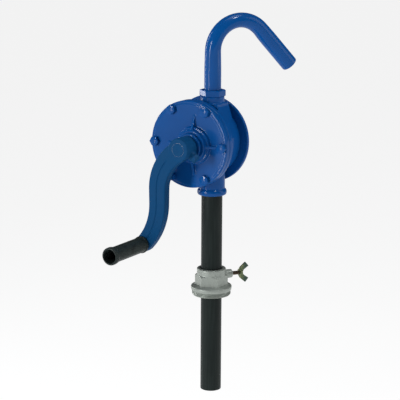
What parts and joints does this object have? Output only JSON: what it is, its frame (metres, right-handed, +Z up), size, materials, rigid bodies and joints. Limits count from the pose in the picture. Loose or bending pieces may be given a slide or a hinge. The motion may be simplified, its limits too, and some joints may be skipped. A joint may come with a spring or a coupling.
{
  "type": "drum barrel pump",
  "caption": "Hand-cranked rotary vane pump that clamps in a drum's bung, with a telescopic suction tube below and a hooked discharge spout above.",
  "frame": {"origin": "on the suction tube's axis, at the underside of the bung adapter's flange, where it sits on the drum", "axes": "+Z up along the suction tube, -Y towards the front cover, shaft and crank, +X to the right seen from the front"},
  "size_m": [0.1675, 0.2898, 0.5841],
  "materials": {
    "cast_zinc": "cast, satin",
    "rubber": "matt",
    "chromated_zinc": "yellow chromate over zinc plating",
    "blue_paint": "glossy enamel over a casting",
    "crank_paint": "satin enamel over a casting",
    "black_tube": "satin black coating on drawn tube",
    "gasket_paper": "pressed fibre",
    "bronze": "machined",
    "packing_cord": "braided, greased",
    "bare_steel": "turned",
    "spring_steel": "drawn wire",
    "vane_plastic": "machined",
    "black_grip": "satin moulded"
  },
  "bodies": {
    "adapter": {"bung_adapter": "cast_zinc", "tube_seal": "rubber"},
    "wing_screw": {"wing_screw": "chromated_zinc"},
    "pump": {"pump_body": "blue_paint", "front_cover": "blue_paint", "rear_cover": "blue_paint", "front_gasket": "gasket_paper", "rear_gasket": "gasket_paper", "cover_bolts": "blue_paint", "rear_cover_screws": "blue_paint", "front_bushing": "bronze", "rear_bushing": "bronze", "shaft_packing": "packing_cord", "packing_nut": "blue_paint", "suction_tube": "black_tube", "spout_lock_nut": "blue_paint", "spout_seal": "rubber"},
    "crank": {"rotor_shaft": "bare_steel", "vane_left": "vane_plastic", "vane_right": "vane_plastic", "vane_springs": "spring_steel", "crank_arm": "crank_paint", "crank_set_screw": "crank_paint", "grip_spindle": "bare_steel", "grip_retainer": "spring_steel"},
    "grip": {"grip": "black_grip"},
    "spout": {"discharge_spout": "blue_paint"},
    "inner_tube": {"telescopic_tube": "bare_steel"}
  },
  "joints": [
    {"name": "wing_screw_turn", "type": "hinge", "parent": "adapter", "child": "wing_screw", "pos_m": [0, 0, 0.0218], "axis": [0.5906, 0.807, 0], "range_deg": [0, 450]},
    {"name": "pump_height", "type": "slide", "parent": "adapter", "child": "pump", "axis": [0, 0, 1], "range_m": [-0.112, 0.14]},
    {"name": "crank_turn", "type": "hinge", "parent": "pump", "child": "crank", "pos_m": [-0.008, -0.05, 0.2305], "axis": [0, -1, 0], "continuous": true},
    {"name": "grip_spin", "type": "hinge", "parent": "crank", "child": "grip", "pos_m": [-0.07148, -0.12, 0.07953], "axis": [0, -1, 0], "continuous": true},
    {"name": "spout_swivel", "type": "hinge", "parent": "pump", "child": "spout", "pos_m": [0, 0, 0.3], "axis": [0, 0, 1], "range_deg": [-55, 120]},
    {"name": "tube_extension", "type": "slide", "parent": "pump", "child": "inner_tube", "axis": [0, 0, -1], "range_m": [0, 0.27]}
  ]
}
